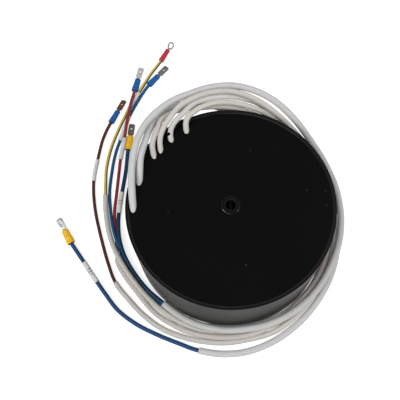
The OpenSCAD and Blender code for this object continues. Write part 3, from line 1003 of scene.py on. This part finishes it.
def folded_flap(bm, side, low, high, cut, hole_z):
    """One of the two folded-over halves of a blade's back, notched round the
    hole."""
    gap = 0.1
    half = BLADE_W / 2 - 0.02
    reach = (BLADE_HOLE ** 2 - gap ** 2) ** 0.5
    notch = arc(0, hole_z, BLADE_HOLE, 84, -84, 10)
    outline = [(gap, low), (half, low), (half, high - cut), (half - cut, high), (gap, high),
               (gap, hole_z + reach)] + notch + [(gap, hole_z - reach)]
    plate(bm, [(x * side, z) for x, z in outline], BLADE_T / 2 - 0.3, BLADE_T / 2 + 0.06)


def ring_eye(bm, neck, front, t):
    """The eye of a ring terminal and the flat neck that carries it."""
    eye_z = front + NECK_L + RING_OUTER - 1.2
    end = eye_z - RING_INNER - 0.2
    round_eye = arc(0, eye_z, RING_OUTER, -90, 270, 48)[:-1]
    plate(bm, round_eye, -t, t, hole=(0, eye_z, RING_INNER))
    plate(bm, [(-neck, front), (neck, front), (neck, end), (-neck, end)], -t + 0.02, t - 0.02)


def tab_blade(bm, neck, front, t):
    """A tab's blade, with its folded back, and the neck that widens to it."""
    corner_cut = 1.2
    low = front + NECK_L
    high = low + BLADE_L
    hole_z = low + BLADE_L * 0.55
    outline = blade_outline(BLADE_W / 2, low, high, corner_cut)
    wide = neck + 0.6
    plate(bm, outline, -t, t, hole=(0, hole_z, BLADE_HOLE))
    plate(bm, [(-neck, front), (neck, front), (wide, low + 0.3), (-wide, low + 0.3)],
          -t + 0.02, t - 0.02)
    for side in (-1, 1):
        folded_flap(bm, side, low + 0.25, high - 0.1, corner_cut, hole_z)


def terminal_body(grip, kind, seam):
    """The metal of a terminal: barrel, neck, and a folded blade or an eye."""
    front, barrel = grip["front"], grip["barrel"] / 2
    neck = barrel - 0.2
    t = BLADE_T / 2
    bm = bmesh.new()
    loft(bm, [(-0.02, barrel - 0.4, barrel - 0.4), (0.0, barrel, barrel),
              (front - 0.3, barrel, barrel), (front + 0.4, barrel, barrel * 0.8),
              (front + 1.3, neck, t + 0.05)])
    close_holes(bm)
    if kind == RING:
        ring_eye(bm, neck, front, t)
    else:
        tab_blade(bm, neck, front, t)
    bmesh.ops.scale(bm, vec=(1, seam, 1), verts=bm.verts)
    bmesh.ops.recalc_face_normals(bm, faces=bm.faces)
    return bm


def finish_at_end(bm, name, lead):
    """A new object from a bmesh, placed at the end of a lead's wire."""
    bmesh.ops.transform(bm, matrix=at_end(lead.route, lead.roll), verts=bm.verts)
    return finish_piece(bm, name)


def crossing(route, z):
    """Where a route first passes a height."""
    line = smooth(route)
    for a, b in zip(line, line[1:]):
        if a.z <= z <= b.z:
            return a.lerp(b, (z - a.z) / (b.z - a.z))


# -------------------------------------------------------------------- build

# The wall's grey is painted light, the top's near black is painted shade, and the edge colour is a
# painted highlight.
black_plastic = moulded_plastic("black_moulding", wall=rgb(44, 44, 43), top=rgb(5, 5, 5),
                                edge=rgb(28, 28, 27), rough=0.36)
black_resin = cast_resin("cast_resin", gloss=0.03, rough=0.3)
wet_resin = cast_resin("glossy_resin", gloss=0.16, rough=0.07)
crumb_resin = grubby_film("pale_dust", rgb(52, 52, 50))
white_tube = grubby_film("marker_plastic", rgb(220, 220, 216))
ink = marking_ink("marker_ink")
tape = film_tape("film_tape")
enamel = copper_wire("enamelled_copper")

dress("case", black_plastic)
dress("potting", black_resin)
dress("core", strip_steel("core_strip"))
for node in ("core_tape", "winding_tape", "outer_tape"):
    dress(node, tape)
for node in ("primary_winding", "secondary_winding"):
    dress(node, enamel)

WIRE_FINISH = {
    "green_yellow": two_colour_insulation("green_yellow_plastic", left=rgb(222, 184, 84),
                                          right=rgb(46, 84, 50)),
    "red": wire_insulation("red_plastic", rgb(144, 46, 48)),
    "blue": wire_insulation("blue_plastic", rgb(24, 82, 126)),
    "brown": wire_insulation("brown_plastic", rgb(78, 36, 30)),
    "navy": wire_insulation("navy_plastic", rgb(18, 54, 86)),
    "royal": wire_insulation("royal_plastic", rgb(24, 68, 114)),
}
# Each sleeve's own colour and the tint of what shows through it
SLEEVE_FINISH = {
    "green_yellow": (rgb(203, 202, 195), rgb(178, 178, 154)),
    "red": (rgb(198, 193, 188), rgb(190, 162, 156)),
    "blue": (rgb(206, 204, 199), rgb(172, 176, 180)),
    "brown": (rgb(204, 201, 195), rgb(170, 161, 153)),
    "navy": (rgb(200, 200, 198), rgb(178, 179, 181)),
    "royal": (rgb(201, 202, 201), rgb(180, 183, 187)),
}
CRIMP_FINISH = {
    "red": crimp_plastic("red_crimp_plastic", rgb(186, 44, 62)),
    "blue": crimp_plastic("blue_crimp_plastic", rgb(2, 91, 160)),
    "yellow": crimp_plastic("yellow_crimp_plastic", rgb(255, 195, 34)),
}
# One tin, in painted lit and shaded copies: each terminal's tin is painted brighter or darker for
# how its blade catches the light, and the brown lead's tin is painted brown, a painted reflection
# of its brown wire.
TIN_FINISH = {
    "green_yellow": tinned_metal("ring_tin", rgb(150, 150, 148), 0.34),
    "red": tinned_metal("tin_painted_lit", rgb(178, 176, 170), 0.34),
    "blue": tinned_metal("tin_painted_shade", rgb(116, 115, 111), 0.42),
    "brown": tinned_metal("tin_painted_brown_reflection", rgb(98, 66, 59), 0.42),
    "navy": tinned_metal("tin_painted_deep_shade", rgb(96, 90, 85), 0.42),
    "royal": tinned_metal("tin_painted_pale_light", rgb(172, 173, 169), 0.34),
}

for count, (name, lead) in enumerate(LEADS.items()):
    grip = HEAVY_GRIP if lead.size is HEAVY else LIGHT_GRIP
    if lead.kind == RING:
        grip = RING_GRIP
    wire, line = wire_piece(name, lead)
    add_piece(wire, WIRE_FINISH[name], [name + "_wire"])
    sleeve = sleeve_piece(name, lead, 1.3 * count)
    pale, tint = SLEEVE_FINISH[name]
    add_piece(sleeve, braided_sleeving(name + "_braid", pale, tint), [name + "_sleeve"])
    marker, marker_line = marker_piece(name, lead, 0.7 * count)
    add_piece(marker, white_tube, [name + "_marker"])
    digits = marker_number(name, lead, marker_line)
    add_piece(digits, ink)
    cover = insulator_piece(grip, lead.size["wire"])
    insulator = finish_at_end(cover, name + "_crimp_cover", lead)
    add_piece(insulator, CRIMP_FINISH[grip["color"]],
              [name + "_insulator"])
    body = terminal_body(grip, lead.kind, lead.seam)
    metal = round_edges(finish_at_end(body, name + "_terminal_metal", lead), 0.1)
    add_piece(metal, TIN_FINISH[name], [name + "_terminal"])

exits = [(crossing(lead.route, RESIN_Z), lead.size["sleeve"] / 2) for lead in LEADS.values()]
add_piece(resin_surface(exits), black_resin)
add_piece(resin_foot(), wet_resin)
add_piece(resin_overrun(start=109, end=166), black_resin)
add_piece(resin_smear(), black_resin)
add_piece(resin_bits(), crumb_resin)

# ------------------------------------------------------- floor, light, camera


def grey(level):
    """A shader's grey."""
    return (level, level, level, 1)


def seen_or_mirrored(w):
    """1 for a ray that the lens, a reflection or clear stuff sends out."""
    ray = w.add("ShaderNodeLightPath")
    seen = w.math("ADD", ray.outputs["Is Camera Ray"], ray.outputs["Is Glossy Ray"], clamp=True)
    return w.math("ADD", seen, ray.outputs["Is Transmission Ray"], clamp=True)


def white_floor():
    """A plain white surface that keeps a shadow."""
    material, w, target = new_material("floor_paper", Roughness=0.9, Specular_IOR_Level=0.0,
                                       Emission_Strength=1.0)
    paper = w.noise(object_place(w), 30.0)
    w.join(w.mix(paper, grey(0.61), grey(0.63)), target["Base Color"])
    w.join(w.mix(seen_or_mirrored(w), grey(0), grey(0.72)), target["Emission Color"])
    return material


def add_floor():
    half_size, drop = 4000, 0.05
    bm = bmesh.new()
    bmesh.ops.create_grid(bm, x_segments=1, y_segments=1, size=half_size)
    bmesh.ops.translate(bm, verts=bm.verts, vec=(0, 0, -drop))
    floor = finish_piece(bm, "floor")
    floor.data.materials.append(white_floor())


def add_world():
    """A plain soft sky, which is white wherever it is seen or mirrored."""
    world = bpy.data.worlds.new("studio")
    bpy.context.scene.world = world
    world.use_nodes = True
    w = Wiring(world.node_tree)
    background = world.node_tree.nodes["Background"]
    w.join(w.mix(seen_or_mirrored(w), grey(0.42), grey(1)), background.inputs["Color"])


def add_lamp(name, place, aim_z, width, depth, power):
    """A square-cornered lamp that points at the axis. Sizes are in metres."""
    data = bpy.data.lights.new(name, "AREA")
    data.shape = "RECTANGLE"
    data.size = width
    data.size_y = depth
    data.energy = power
    lamp = bpy.data.objects.new(name, data)
    lamp.location = place
    way = Vector((0, 0, aim_z)) - Vector(place)
    lamp.rotation_euler = way.to_track_quat("-Z", "Y").to_euler()
    lamp.visible_camera = False
    bpy.context.scene.collection.objects.link(lamp)


def add_lamps():
    """Two broad lamps shape the tub, and two strips draw the glints along the
    foot of the resin."""
    add_lamp("key", (-0.45, -0.7, 1.2), 0.04, 1.0, 1.0, power=6.7)
    add_lamp("fill", (0.85, 0.15, 1.15), 0.04, 1.0, 1.0, power=3.6)
    add_lamp("left_strip", (-0.66, -0.25, 0.79), 0.08, 0.5, 0.1, power=2.6)
    add_lamp("right_strip", (0.675, -0.21, 0.79), 0.08, 0.2, 0.12, power=1.6)


def add_camera():
    """The lens looks down over the front of the tub, 610 mm from its rim."""
    tilt = radians(70.02)
    roll = radians(-3.10)
    distance = 0.6095
    aim = Vector((-26.4, 5.8, CASE_H)) * MM
    data = bpy.data.cameras.new("camera")
    data.sensor_width = 36
    data.lens = 63
    back = Vector((0, -cos(tilt), sin(tilt)))
    up = Vector((0, sin(tilt), cos(tilt)))
    level = Vector((1, 0, 0))
    right = cos(roll) * level + sin(roll) * up
    above = cos(roll) * up - sin(roll) * level
    turn = Matrix((right, above, back)).transposed().to_4x4()
    camera = bpy.data.objects.new("camera", data)
    camera.matrix_world = Matrix.Translation(aim + distance * back) @ turn
    bpy.context.scene.collection.objects.link(camera)
    bpy.context.scene.camera = camera


add_floor()
add_world()
add_lamps()
add_camera()
bpy.context.scene.view_settings.view_transform = "Standard"
